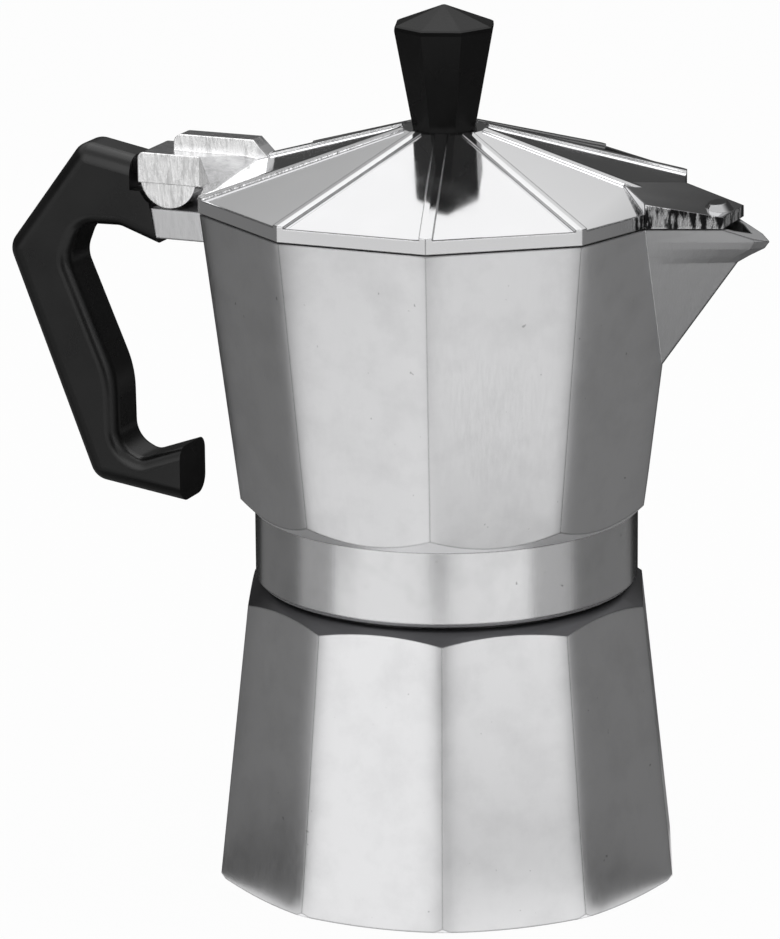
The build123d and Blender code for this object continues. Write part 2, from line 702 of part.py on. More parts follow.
def make_knob():
    """Eight-sided knob, wider at the top, with a low pyramid on it and a blind hole for the screw."""
    top = lid_top + knob_height
    lean = (knob_top_r - knob_base_r) / knob_height
    cap_slope = knob_cap_height / knob_top_r
    rings = [(knob_base_r, lid_top), (knob_top_r - lean * knob_edge, top - knob_edge),
             (knob_top_r - 0.3 * knob_edge, top), (knob_top_r - knob_edge, top + cap_slope * knob_edge),
             (0.4, top + knob_cap_height)]
    knob = loft([Pos(0, 0, z) * RegularPolygon(r, knob_sides, rotation=knob_turn) for r, z in rings], ruled=True)
    hole = Pos(0, 0, lid_top) * Cylinder(knob_screw_r, knob_screw_depth, align=(Align.CENTER, Align.CENTER, Align.MIN))
    return knob - hole


def lid_inner_top():
    """Height of the flat under the lid's middle."""
    inner_r = lid_corner_r - lid_shell / facet_share
    return lid_rim_top - lid_shell / 2 + lid_slope * (inner_r - lid_seat_r)


def make_knob_washer():
    top = lid_inner_top()
    return tube(knob_washer_r, knob_screw_r + screw_clearance, top - knob_washer_thick, top)


def make_knob_screw():
    """Pan-headed screw from inside the lid into the knob."""
    seat = lid_inner_top() - knob_washer_thick
    low = seat - knob_head_height
    shank = knob_screw_r - column_fit
    return turned((0, low), (knob_head_r - 1, low), (knob_head_r, low + 1), (knob_head_r, seat), (shank, seat),
                  (shank, lid_top + knob_screw_depth - 1), (0, lid_top + knob_screw_depth - 1))


makers = {
    "boiler": make_boiler,
    "valve_body": make_valve_body,
    "valve_washer": make_valve_washer,
    "valve_seat": make_valve_seat,
    "valve_stem": make_valve_stem,
    "valve_spring": make_valve_spring,
    "funnel": make_funnel,
    "funnel_stem": make_funnel_stem,
    "funnel_strainer": make_funnel_strainer,
    "gasket": make_gasket,
    "filter_plate": make_filter_plate,
    "upper_pot": make_upper_pot,
    "column": make_column,
    "handle": make_handle,
    "handle_screw": make_handle_screw,
    "hinge_pin": make_hinge_pin,
    "lid": make_lid,
    "knob": make_knob,
    "knob_washer": make_knob_washer,
    "knob_screw": make_knob_screw,
}

os.makedirs("parts", exist_ok=True)
for name, make in makers.items():
    export_step(make(), os.path.join("parts", name + ".step"))
    print(name)
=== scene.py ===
# %% [markdown]
# # A ten-sided stove-top moka pot
#
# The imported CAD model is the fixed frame: every solid is already in its place, in metres, with the spout
# along +X, the handle along -X and the base at Z = 0. Blender adds what the solids leave out: the finishes of
# cast, polished and drawn aluminium, moulded black plastic, brass and rubber, the screw thread between the
# two halves of the pot, and a round-wire spring in the safety valve.

# %% Load the frame
import math
import bpy
import numpy as np
from mathutils import Matrix, Vector


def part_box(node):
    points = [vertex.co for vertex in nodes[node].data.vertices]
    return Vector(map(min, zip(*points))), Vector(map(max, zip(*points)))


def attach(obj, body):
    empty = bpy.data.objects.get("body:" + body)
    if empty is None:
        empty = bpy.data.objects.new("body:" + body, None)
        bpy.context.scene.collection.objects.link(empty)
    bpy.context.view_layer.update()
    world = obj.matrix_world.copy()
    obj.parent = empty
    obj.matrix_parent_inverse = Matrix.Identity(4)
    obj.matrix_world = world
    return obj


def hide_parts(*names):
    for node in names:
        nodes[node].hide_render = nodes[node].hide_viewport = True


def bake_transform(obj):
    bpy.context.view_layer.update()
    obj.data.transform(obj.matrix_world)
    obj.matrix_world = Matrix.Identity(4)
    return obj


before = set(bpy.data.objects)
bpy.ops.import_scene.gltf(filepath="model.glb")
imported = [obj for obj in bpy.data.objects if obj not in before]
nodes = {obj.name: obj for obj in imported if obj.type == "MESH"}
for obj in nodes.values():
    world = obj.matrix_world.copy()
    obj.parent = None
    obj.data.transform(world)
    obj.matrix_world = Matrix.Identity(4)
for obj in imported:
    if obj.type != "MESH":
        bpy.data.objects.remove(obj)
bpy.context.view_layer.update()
MM = 0.001

# %% [markdown]
# ## Helpers
#
# A colour is written as an sRGB hex value, and Blender's shaders work with linear light, so one function
# turns the first into the second. A second function adds a shader node of any kind, with its settings and its
# links, so that a material reads as a recipe from top to bottom. Each texture's scale comes from the real
# size of what it draws, and its place from the piece's own axes (Object coordinates), so that a pattern stays
# put when the piece moves.

# %% Colour and node helpers
COLOUR_MIX = {"data_type": "RGBA"}


def linear(hex_colour):
    """Linear RGBA from an sRGB hex value: c / 12.92 near black, ((c + 0.055) / 1.055) ** 2.4 above."""
    parts = [int(hex_colour[i:i + 2], 16) / 255 for i in (1, 3, 5)]
    return [c / 12.92 if c <= 0.04045 else ((c + 0.055) / 1.055) ** 2.4 for c in parts] + [1.0]


def add(tree, kind, settings=None, stops=(), **sockets):
    """Adds a node. Settings are its own fields, and stops are a colour ramp's places with their grey levels.
    A socket goes by its name, or by i and its number where names repeat. It takes a number, a hex colour, an
    output, or a node, which gives its first live output."""
    node = tree.nodes.new("ShaderNode" + kind)
    for field, value in (settings or {}).items():
        setattr(node, field, value)
    for index, (place, level) in enumerate(stops):
        points = node.color_ramp.elements
        point = points[index] if index < 2 else points.new(place)
        point.position = place
        point.color = (level, level, level, 1.0)
    for name, value in sockets.items():
        if name[0] == "i" and name[1:].isdigit():
            socket = node.inputs[int(name[1:])]
        else:
            socket = next(s for s in node.inputs if s.enabled and s.name == name.replace("_", " "))
        if isinstance(value, bpy.types.Node):
            value = next(output for output in value.outputs if output.enabled)
        if isinstance(value, bpy.types.NodeSocket):
            tree.links.new(value, socket)
        else:
            socket.default_value = linear(value) if isinstance(value, str) else value
    return node


def new_material(name):
    """An empty node material and its tree."""
    material = bpy.data.materials.new(name)
    material.use_nodes = True
    material.node_tree.nodes.clear()
    return material, material.node_tree


def per_mm(size):
    """Texture scale, in features per metre, for features of a real size in millimetres."""
    return 1.0 / (size * MM)


print("helpers ready")

# %% [markdown]
# ## Satin cast aluminium
#
# The boiler and the upper pot are gravity-cast, then ground on a belt facet by facet. The belt leaves fine
# lines along each facet, too fine to see one by one, so the eye gets a soft satin reflection with faint
# streaks. A belt is never quite flat, so each facet is crowned a little towards its corners, and its
# reflection fades there. At the corner itself the wheel leaves a radius of about half a millimetre. Both
# only turn the shading normal, and the solid stays as it is. The thin darker line along each corner is
# painted shade: a grey mixed into the colour along corners and creases.
#
# Four places differ, and each has a mask from the piece's own coordinates: the spout and the lug, which stand
# outside the ground facets and keep the lumpy skin of the casting; the skirt band, which is turned on a lathe
# and shinier; the slope under the pot, which is dull; and the boiler's shoulder just below the skirt, which
# is painted dark grey as painted shade, the shade the skirt casts on it. Painting each place by hand would
# need a texture map; masks worked out from sizes need none.

# %% Where each finish of the casting lies, and where shade is painted on the boiler's shoulder
FACET_HALF = math.radians(18)
POT_START_MM = 30.11    # the pot's corner radius is this plus POT_TAPER times the height
POT_TAPER = 0.12544
SPOUT_FOOT_MM = 90.0
POT_FOOT_MM = 70.9
SKIRT_FOOT_MM = 56.2
SHOULDER_FOOT_MM = 49.0
SHOULDER_TOP_MM = SKIRT_FOOT_MM + 2
SHOULDER_SLOPE = 0.3    # faces that look up more than this
UNDER_SLOPE = -0.25     # faces that look down more than this
MASK_MARGIN_MM = 0.1


def own_slope(tree):
    """How far the flat face looks up, -1 to 1, in the piece's own axes, so that a mask moves with it."""
    flat = add(tree, "NewGeometry").outputs["True Normal"]
    to_piece = {"vector_type": "NORMAL", "convert_from": "WORLD", "convert_to": "OBJECT"}
    own = add(tree, "VectorTransform", to_piece, Vector=flat)
    return add(tree, "SeparateXYZ", Vector=own).outputs["Z"]


def between_heights(tree, height, low_mm, high_mm):
    """1 between two heights, else 0."""
    middle, reach = (low_mm + high_mm) / 2 * MM, (high_mm - low_mm) / 2 * MM
    return add(tree, "Math", {"operation": "COMPARE"}, i0=height, i1=middle, i2=reach)


def outside_facets(tree, place, height):
    """1 on the spout and the lug: there |x| cos 18 + |y| sin 18 is larger than the facets' distance."""
    away = add(tree, "VectorMath", {"operation": "ABSOLUTE"}, i0=place)
    slope = (math.cos(FACET_HALF), math.sin(FACET_HALF), -POT_TAPER * math.cos(FACET_HALF))
    reach = add(tree, "VectorMath", {"operation": "DOT_PRODUCT"}, i0=away, i1=slope)
    facet_reach = (POT_START_MM * math.cos(FACET_HALF) + MASK_MARGIN_MM) * MM
    beyond = add(tree, "Math", {"operation": "GREATER_THAN"}, i0=reach, i1=facet_reach)
    above = add(tree, "Math", {"operation": "GREATER_THAN"}, i0=height, i1=SPOUT_FOOT_MM * MM)
    return add(tree, "Math", {"operation": "MULTIPLY"}, i0=beyond, i1=above)


def shoulder_shade_mask(tree, height, slope):
    """1 on the boiler's shoulder, which looks up just below the skirt; there the skirt's shade is painted
    dark.
    """
    upward = add(tree, "Math", {"operation": "GREATER_THAN"}, i0=slope, i1=SHOULDER_SLOPE)
    near = between_heights(tree, height, SHOULDER_FOOT_MM, SHOULDER_TOP_MM)
    return add(tree, "Math", {"operation": "MULTIPLY"}, i0=upward, i1=near)


print("skirt band from", SKIRT_FOOT_MM, "to", POT_FOOT_MM, "mm")

# %% Casting skin, wear, painted shade along corners, and crown
LUMP_MM = 1.3           # lumps of the raw casting skin
DRAG = 0.3              # drag marks of the mould run up and down, three times longer than wide
STAIN_MM = 8.0
PIT_MM = 1.4            # spacing of the noise whose peaks become pits
CROWN = 0.85            # share of the 18 degrees to the corner that the belt's rounding turns
CROWN_POWER = 5.0       # how late the crown begins
UPRIGHT = 0.25          # a face that looks up or down less than this counts as upright
BOILER_TURN = math.radians(2.9)


def raw_skin(tree, place):
    """Lumpy casting skin as a height: noise stretched along Z."""
    drag = add(tree, "Mapping", Vector=place, Scale=(1.0, 1.0, DRAG))
    return add(tree, "TexNoise", Vector=drag, Scale=per_mm(LUMP_MM), Detail=5.0, Roughness=0.6)


def wear(tree, place, colour):
    """Faint grey stains some millimetres wide, and casting pits of a few tenths of a millimetre."""
    clouds = add(tree, "TexNoise", Vector=place, Scale=per_mm(STAIN_MM), Detail=5.0, Roughness=0.6)
    stains = add(tree, "ValToRGB", stops=((0.45, 0.0), (0.85, 0.30)), Fac=clouds)
    peaks = add(tree, "TexNoise", Vector=place, Scale=per_mm(PIT_MM), Detail=1.0)
    pits = add(tree, "ValToRGB", stops=((0.785, 0.0), (0.82, 0.5)), Fac=peaks)
    stained = add(tree, "Mix", COLOUR_MIX, Factor=stains, A=colour, B="#a9a9aa")
    return add(tree, "Mix", COLOUR_MIX, Factor=pits, A=stained, B="#6b6b6c")


def painted_edge_shade(tree, corner):
    """Mask for painted shade: 1 along corners and creases, where the rounded normal leans away from the flat
    face's own.
    """
    flat = add(tree, "NewGeometry").outputs["True Normal"]
    lean = add(tree, "VectorMath", {"operation": "DOT_PRODUCT"}, i0=corner, i1=flat)
    return add(tree, "ValToRGB", stops=((0.955, 1.0), (0.992, 0.0)), Fac=lean)


def crowned(tree, split, slope, normal):
    """Normal turned about Z by 18 deg * CROWN * e ** CROWN_POWER, with e from -1 to 1 across each facet: flat
    in the middle and rounded over towards the corners. The boiler's corners stand BOILER_TURN further round
    than the pot's."""
    turn = add(tree, "Math", {"operation": "ARCTAN2"}, i0=split.outputs["Y"], i1=split.outputs["X"])
    lower = add(tree, "Math", {"operation": "LESS_THAN"}, i0=split.outputs["Z"], i1=SKIRT_FOOT_MM * MM)
    turn = add(tree, "Math", {"operation": "MULTIPLY_ADD"}, i0=lower, i1=-BOILER_TURN, i2=turn)
    facet = add(tree, "Math", {"operation": "FLOORED_MODULO"}, i0=turn, i1=2 * FACET_HALF)
    across = add(tree, "MapRange", Value=facet, From_Max=2 * FACET_HALF, To_Min=-1.0, To_Max=1.0)
    bend = add(tree, "Math", {"operation": "POWER"}, i0=across, i1=CROWN_POWER)
    upright = add(tree, "Math", {"operation": "COMPARE"}, i0=slope, i1=0.0, i2=UPRIGHT)
    most = add(tree, "Math", {"operation": "MULTIPLY"}, i0=upright, i1=CROWN * FACET_HALF)
    angle = add(tree, "Math", {"operation": "MULTIPLY"}, i0=bend, i1=most)
    return add(tree, "VectorRotate", {"rotation_type": "Z_AXIS"}, Vector=normal, Angle=angle)


print("each facet's corners are turned by", round(math.degrees(CROWN * FACET_HALF), 1), "degrees")

# %% The satin metal
BELT_LINE_MM = 0.35     # real belt lines are about 0.05 mm; drawn coarser so that they show
BELT_STREAK = 0.03      # streaks run about thirty times longer than they are wide
BELT_CLOUD_MM = 14.0    # patches where the belt pressed harder
CLOUD_SHARE = 0.3
BELT_DEPTH_MM = 0.02
LUMP_DEPTH_MM = 0.25
CORNER_ROUND_MM = 0.5
BAND_ROUGHNESS = 0.21
RAW_ROUGHNESS = 0.42
SLOPE_ROUGHNESS = 0.5


def belt_lines(tree, place):
    """Fine streaks up and down each facet, as noise from 0 to 1."""
    along = add(tree, "Mapping", Vector=place, Scale=(1.0, 1.0, BELT_STREAK))
    return add(tree, "TexNoise", Vector=along, Scale=per_mm(BELT_LINE_MM), Detail=3.0)


def belt_roughness(tree, place, lines, low, high):
    """Roughness from low to high, in streaks and in wide patches."""
    clouds = add(tree, "TexNoise", Vector=place, Scale=per_mm(BELT_CLOUD_MM), Detail=4.0)
    belt = add(tree, "Mix", Factor=CLOUD_SHARE, A=lines, B=clouds)
    return add(tree, "ValToRGB", stops=((0.4, low), (0.6, high)), Fac=belt)


def casting_tone_and_shade(tree, split, ground, raw, edge_shade):
    """The ground metal's colour with a grey line of painted shade along corners, and the raw skin of the
    spout and the lug, with painted shade, a darker grey, in its creases.
    """
    # Painted shade: a grey line along the facet corners.
    ground = add(tree, "Mix", COLOUR_MIX, Factor=edge_shade, A=ground, B="#8c8c8d")
    lug = add(tree, "Math", {"operation": "LESS_THAN"}, i0=split.outputs["X"], i1=0.0)
    skin = add(tree, "Mix", COLOUR_MIX, Factor=lug, A="#a6a6a7", B="#c6c6c7")
    tone = add(tree, "Mix", COLOUR_MIX, Factor=raw, A=ground, B=skin)
    # Painted shade: a darker grey in the creases and corners of the raw skin.
    crease_shade = add(tree, "Math", {"operation": "MULTIPLY"}, i0=edge_shade, i1=raw)
    return add(tree, "Mix", COLOUR_MIX, Factor=crease_shade, A=tone, B="#5c5c5d")


def satin_aluminium(name, colour, low, high):
    """Streaked belt-ground metal, with roughness from low to high, other finishes where masks say so, and
    painted shade on the boiler's shoulder and along corners.
    """
    material, tree = new_material(name)
    place = add(tree, "TexCoord").outputs["Object"]
    split = add(tree, "SeparateXYZ", Vector=place)
    height = split.outputs["Z"]
    slope = own_slope(tree)
    raw = outside_facets(tree, place, height)
    band = between_heights(tree, height, SKIRT_FOOT_MM, POT_FOOT_MM)
    under = add(tree, "Math", {"operation": "LESS_THAN"}, i0=slope, i1=UNDER_SLOPE)

    lines = belt_lines(tree, place)
    rough = belt_roughness(tree, place, lines, low, high)
    for mask, level in ((band, BAND_ROUGHNESS), (raw, RAW_ROUGHNESS), (under, SLOPE_ROUGHNESS)):
        rough = add(tree, "Mix", Factor=mask, A=rough, B=level)

    corner = add(tree, "Bevel", {"samples": 6}, Radius=CORNER_ROUND_MM * MM)
    crown = crowned(tree, split, slope, corner)
    plain = add(tree, "Math", {"operation": "ADD"}, i0=raw, i1=band)
    normal = add(tree, "Mix", {"data_type": "VECTOR"}, Factor=plain, A=crown, B=corner)
    scratch = add(tree, "Bump", Strength=0.25, Distance=BELT_DEPTH_MM * MM, Height=lines, Normal=normal)
    lumps = add(tree, "Math", {"operation": "MULTIPLY"}, i0=raw, i1=raw_skin(tree, place))
    skin = add(tree, "Bump", Strength=0.35, Distance=LUMP_DEPTH_MM * MM, Height=lumps, Normal=scratch)

    ground = add(tree, "Mix", COLOUR_MIX, Factor=under, A=wear(tree, place, colour), B="#f6f6f7")
    tone = casting_tone_and_shade(tree, split, ground, raw, painted_edge_shade(tree, corner))
    # Painted shade: the boiler's shoulder is painted dark grey for the shade the skirt casts on it.
    tone = add(tree, "Mix", COLOUR_MIX, Factor=shoulder_shade_mask(tree, height, slope), A=tone, B="#58585a")
    metal = add(tree, "BsdfPrincipled", Base_Color=tone, Metallic=1.0, Roughness=rough, Normal=skin)
    add(tree, "OutputMaterial", Surface=metal)
    return material


cast = satin_aluminium("satin_cast_aluminium", "#dcdcdd", 0.31, 0.38)
print("made", cast.name)

# %% [markdown]
# ## Polished lid
#
# The lid's facets are buffed to a mirror, while its hinge block and the sides of its beak keep the raw skin
# of the casting: small lumps and vertical drag marks from the mould. Painted light and shade lie on that
# skin: the block's sides are painted white and its top darker, and the beak's sides are painted near black as
# shade, with bright flecks along the drag marks as painted glints. A darker grey along the lid's corners and
# ridges is painted shade too. The lid is one solid, so one material holds all of it, and masks from the
# piece's own coordinates say where the buffing wheel reached.

# %% Polished lid with raw cast ends, and painted light and shade
HINGE_RAW_X = (-36.5, -37.5)    # mm: the buffing fades out where the hinge block leaves the facets
BEAK_RAW_X = 42.0               # mm: beyond this the beak's upright sides are raw
TIP_X = (36.0, 51.0)            # mm: the beak's top gets greyer towards its tip
SIDE = 0.5                      # a face that looks up or down less than this counts as a side
LID_CORNER_MM = 0.3
LID_LUMP_DEPTH_MM = 0.3
CAST_END_ROUGHNESS = 0.26
HAZE_MM = 9.0
RIM_LUMPS = 0.4                 # share of the raw skin's lumps that is left on the partly buffed rim


def cast_end_light_and_shade(tree, lumps, side, beak):
    """Spotted hinge block with painted light, white sides and a darker top, and the beak's sides painted near
    black as shade, with bright painted glints along the drag marks.
    """
    # Painted light and shade: white block sides, a darker block top, near-black beak sides with bright
    # glints.
    spots = add(tree, "ValToRGB", stops=((0.5, 0.0), (0.62, 0.35)), Fac=lumps)
    lit_block_side = add(tree, "Mix", COLOUR_MIX, Factor=spots, A="#ffffff", B="#9a9a9b")
    drag_glints = add(tree, "ValToRGB", stops=((0.46, 0.0), (0.56, 1.0)), Fac=lumps)
    shaded_beak_side = add(tree, "Mix", COLOUR_MIX, Factor=drag_glints, A="#2c2c2d", B="#e2e2e3")
    mottle = add(tree, "ValToRGB", stops=((0.45, 0.0), (0.7, 0.3)), Fac=lumps)
    shaded_block_top = add(tree, "Mix", COLOUR_MIX, Factor=mottle, A="#b2b2b3", B="#707071")
    sides = add(tree, "Mix", COLOUR_MIX, Factor=beak, A=lit_block_side, B=shaded_beak_side)
    return add(tree, "Mix", COLOUR_MIX, Factor=side, A=shaded_block_top, B=sides)


def polished_lid():
    """Mirror metal on the facets, raw cast skin with painted light and shade on the hinge block and the
    beak's sides, and painted shade along the corners.
    """
    material, tree = new_material("polished_aluminium_with_cast_ends")
    place = add(tree, "TexCoord").outputs["Object"]
    x = add(tree, "SeparateXYZ", Vector=place).outputs["X"]
    hinge = add(tree, "MapRange", Value=x, From_Min=HINGE_RAW_X[0] * MM, From_Max=HINGE_RAW_X[1] * MM)
    tip = add(tree, "MapRange", Value=x, From_Min=TIP_X[0] * MM, From_Max=TIP_X[1] * MM)
    beak = add(tree, "Math", {"operation": "GREATER_THAN"}, i0=x, i1=BEAK_RAW_X * MM)
    side = add(tree, "Math", {"operation": "COMPARE"}, i0=own_slope(tree), i1=0.0, i2=SIDE)
    beak_sides = add(tree, "Math", {"operation": "MULTIPLY"}, i0=beak, i1=side)
    raw = add(tree, "Math", {"operation": "MAXIMUM"}, i0=hinge, i1=beak_sides)

    lumps = raw_skin(tree, place)
    corner = add(tree, "Bevel", {"samples": 6}, Radius=LID_CORNER_MM * MM)
    facets = add(tree, "Mix", COLOUR_MIX, Factor=tip, A="#f3f3f4", B="#b8b8b9")
    # Painted shade: a darker grey along the lid's corners and ridges.
    buffed_with_edge_shade = add(tree, "Mix", COLOUR_MIX, Factor=painted_edge_shade(tree, corner), A=facets, B="#767677")
    tone = add(tree, "Mix", COLOUR_MIX, Factor=raw, A=buffed_with_edge_shade, B=cast_end_light_and_shade(tree, lumps, side, beak))

    haze = add(tree, "TexNoise", Vector=place, Scale=per_mm(HAZE_MM), Detail=4.0)
    shine = add(tree, "ValToRGB", stops=((0.35, 0.05), (0.7, 0.12)), Fac=haze)
    rough = add(tree, "Mix", Factor=raw, A=shine, B=CAST_END_ROUGHNESS)
    rim = add(tree, "Math", {"operation": "MULTIPLY"}, i0=side, i1=RIM_LUMPS)
    lumpy = add(tree, "Math", {"operation": "MAXIMUM"}, i0=raw, i1=rim)
    relief = add(tree, "Math", {"operation": "MULTIPLY"}, i0=lumpy, i1=lumps)
    skin = add(tree, "Bump", Strength=0.4, Distance=LID_LUMP_DEPTH_MM * MM, Height=relief, Normal=corner)
    metal = add(tree, "BsdfPrincipled", Base_Color=tone, Metallic=1.0, Roughness=rough, Normal=skin)
    add(tree, "OutputMaterial", Surface=metal)
    return material


lid_metal = polished_lid()
print("made", lid_metal.name)

# %% [markdown]
# ## Moulded black plastic
#
# Handle and knob are compression-moulded phenolic: near black, slightly glossy where the mould was polished,
# with a very fine orange-peel that breaks up the highlights along the rounded edges. A flat black would look
# like a hole in the picture, so two near blacks and two roughnesses vary with a film of dust. The knob is
# worn duller by fingers, so it mirrors less.

# %% Black phenolic
PEEL_MM = 0.6
PEEL_DEPTH_MM = 0.05
DUST_MM = 12.0
PHENOLIC_IOR = 1.55


def phenolic(name, gloss):
    """Dark plastic with an orange-peel bump about half a millimetre wide. Gloss is its specular level."""
    material, tree = new_material(name)
    place = add(tree, "TexCoord").outputs["Object"]
    dust = add(tree, "TexNoise", Vector=place, Scale=per_mm(DUST_MM), Detail=3.0)
    tone = add(tree, "Mix", COLOUR_MIX, Factor=dust, A="#0b0b0b", B="#111111")
    rough = add(tree, "ValToRGB", stops=((0.35, 0.24), (0.7, 0.34)), Fac=dust)
    peel = add(tree, "TexNoise", Vector=place, Scale=per_mm(PEEL_MM), Detail=2.0)
    skin = add(tree, "Bump", Strength=0.12, Distance=PEEL_DEPTH_MM * MM, Height=peel)
    plastic = add(tree, "BsdfPrincipled", Base_Color=tone, Roughness=rough, IOR=PHENOLIC_IOR,
                  Specular_IOR_Level=gloss, Normal=skin)
    add(tree, "OutputMaterial", Surface=plastic)
    return material


handle_plastic = phenolic("moulded_black_phenolic", 0.3)
knob_plastic = phenolic("worn_black_phenolic", 0.12)
print("made", handle_plastic.name, "and", knob_plastic.name)

# %% [markdown]
# ## Inner metals and rubber
#
# Funnel, strainer, filter plate and riser are drawn or turned sheet, a little duller than the outside. The
# valve is turned brass, the fasteners are bright steel, and the gasket is pale food-grade rubber. What shows
# that a piece was turned is the way its gloss changes in rings, so one function makes all three metals.

# %% Inner metals and rubber
RING_MM = 1.885         # spacing of the bands of turning rings; single rings are too fine to draw
WAVE_PERIOD = math.pi / 10      # a wave texture repeats after this, in its own units
TURNED_CORNER_MM = 0.2
MOTTLE_MM = 2.5
MOTTLE_DEPTH_MM = 0.05
RUBBER_ROUGHNESS = 0.62


def turned_metal(name, colour, low, high):
    """Metal with bands of turning rings about Z: the rings follow the distance from the axis."""
    material, tree = new_material(name)
    place = add(tree, "TexCoord").outputs["Object"]
    about_z = {"wave_type": "RINGS", "rings_direction": "Z"}
    rings = add(tree, "TexWave", about_z, Vector=place, Scale=WAVE_PERIOD * per_mm(RING_MM), Distortion=1.5,
                Detail=3.0).outputs["Fac"]
    rough = add(tree, "ValToRGB", stops=((0.2, low), (0.8, high)), Fac=rings)
    corner = add(tree, "Bevel", {"samples": 4}, Radius=TURNED_CORNER_MM * MM)
    metal = add(tree, "BsdfPrincipled", Base_Color=colour, Metallic=1.0, Roughness=rough, Normal=corner)
    add(tree, "OutputMaterial", Surface=metal)
    return material


def food_rubber():
    """Soft pale rubber with a faint dusty mottling."""
    material, tree = new_material("food_grade_rubber")
    place = add(tree, "TexCoord").outputs["Object"]
    mottle = add(tree, "TexNoise", Vector=place, Scale=per_mm(MOTTLE_MM), Detail=4.0)
    tone = add(tree, "Mix", COLOUR_MIX, Factor=mottle, A="#d3cfc4", B="#e2dfd6")
    skin = add(tree, "Bump", Strength=0.2, Distance=MOTTLE_DEPTH_MM * MM, Height=mottle)
    soft = add(tree, "BsdfPrincipled", Base_Color=tone, Roughness=RUBBER_ROUGHNESS, Normal=skin)
    add(tree, "OutputMaterial", Surface=soft)
    return material


drawn = turned_metal("drawn_aluminium_sheet", "#cfcfd1", 0.26, 0.40)
brass = turned_metal("turned_brass", "#d2ad63", 0.20, 0.32)
steel = turned_metal("bright_steel", "#bdbec2", 0.18, 0.30)
rubber = food_rubber()
print("made", ", ".join(material.name for material in (drawn, brass, steel, rubber)))

# %% Each CAD node's finish
finishes = {
    cast: ["boiler", "upper_pot"],
    lid_metal: ["lid"],
    handle_plastic: ["handle"],
    knob_plastic: ["knob"],
    drawn: ["funnel", "funnel_stem", "funnel_strainer", "filter_plate", "column"],
    brass: ["valve_body", "valve_stem", "valve_seat"],
    steel: ["valve_spring", "handle_screw", "hinge_pin", "knob_screw", "knob_washer"],
    rubber: ["gasket", "valve_washer"],
}
for material, names in finishes.items():
    for name in names:
        nodes[name].data.materials.clear()
        nodes[name].data.materials.append(material)
print("finished", sum(len(names) for names in finishes.values()), "CAD nodes")

# %% [markdown]
# ## The screw thread
#
# The solids leave the neck and the skirt plain. A real thread is a ridge that climbs round the neck, and the
# surface is simple to write down: carry a small bump profile along a helix. One parameter runs round the
# turns, the other across the ridge, and the ridge fades to nothing at both ends as a cut thread does. The
# skirt carries the same ridge turned inwards, half a pitch higher, so the two stay in mesh as the pot turns
# and rises.

# %% Thread ridges
PITCH_MM = 3.0
THREAD_TURNS = 2.6
THREAD_DROP_MM = 9.5    # the thread starts this far below the neck's top
RIDGE_HEIGHT_MM = 0.42
RIDGE_SHARE = 0.36      # width of the ridge as a share of the pitch
RIDGE_SINK_MM = 0.03    # the ridge's feet go this far into the wall, so that no gap shows
FADE = 0.6              # radians over which the ridge runs out
NECK_R_MM = 32.4
SKIRT_BORE_R_MM = 33.0
HELIX_POINTS = 241
RIDGE_POINTS = 9


def new_piece(name, points, faces, material):
    """Mesh object at the origin from an array of points in metres."""
    mesh = bpy.data.meshes.new(name)
    mesh.from_pydata(points.reshape(-1, 3).tolist(), [], faces)
    mesh.materials.append(material)
    piece = bpy.data.objects.new(name, mesh)
    bpy.context.scene.collection.objects.link(piece)
    return piece


def thread_ridge(name, radius, low, inward):
    """Ridge on a cylinder: radius + sign * height * cos(across) ** 1.5, climbing one pitch in each turn."""
    turn = np.linspace(0, 2 * math.pi * THREAD_TURNS, HELIX_POINTS)[:, None]
    across = np.linspace(-0.5 * math.pi, 0.5 * math.pi, RIDGE_POINTS)[None, :]
    fade = np.clip(np.minimum(turn, turn[-1] - turn) / FADE, 0, 1)
    height = RIDGE_HEIGHT_MM * fade * np.cos(across).clip(0) ** 1.5 - RIDGE_SINK_MM
    r = radius - height if inward else radius + height
    z = low + PITCH_MM * turn / (2 * math.pi) + RIDGE_SHARE * PITCH_MM * across / math.pi
    points = np.stack([r * np.cos(turn), r * np.sin(turn), z + 0 * r], -1) * MM
    index = np.arange(height.size).reshape(height.shape)
    quads = np.stack([index[:-1, :-1], index[1:, :-1], index[1:, 1:], index[:-1, 1:]], -1).reshape(-1, 4)
    quads = quads[:, ::-1] if inward else quads
    piece = new_piece(name, points, quads.tolist(), cast)
    piece.data.shade_smooth()
    print(name, len(quads), "faces")
    return piece


thread_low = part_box("boiler")[1].z / MM - THREAD_DROP_MM
neck_thread = thread_ridge("neck_thread", NECK_R_MM, thread_low, inward=False)
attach(neck_thread, "boiler")
skirt_thread = thread_ridge("skirt_thread", SKIRT_BORE_R_MM, thread_low + PITCH_MM / 2, inward=True)
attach(skirt_thread, "collector")

# %% [markdown]
# ## The valve spring
#
# The solid of the safety valve's spring can't shorten when the stem moves out, so a spring of its own stands
# for it: a round wire carried along a helix, from the valve body to the stem's collar. The places of its two
# ends are worked out, but the coil is a fixed mesh that nothing ties to the body or the stem.

# %% Valve spring
WIRE_R_MM = 0.24
WIRE_SIDES = 12
COIL_R_MM = 1.7
COIL_TURNS = 5
VALVE_ANGLE = math.radians(92.9)
VALVE_HEIGHT_MM = 36.0


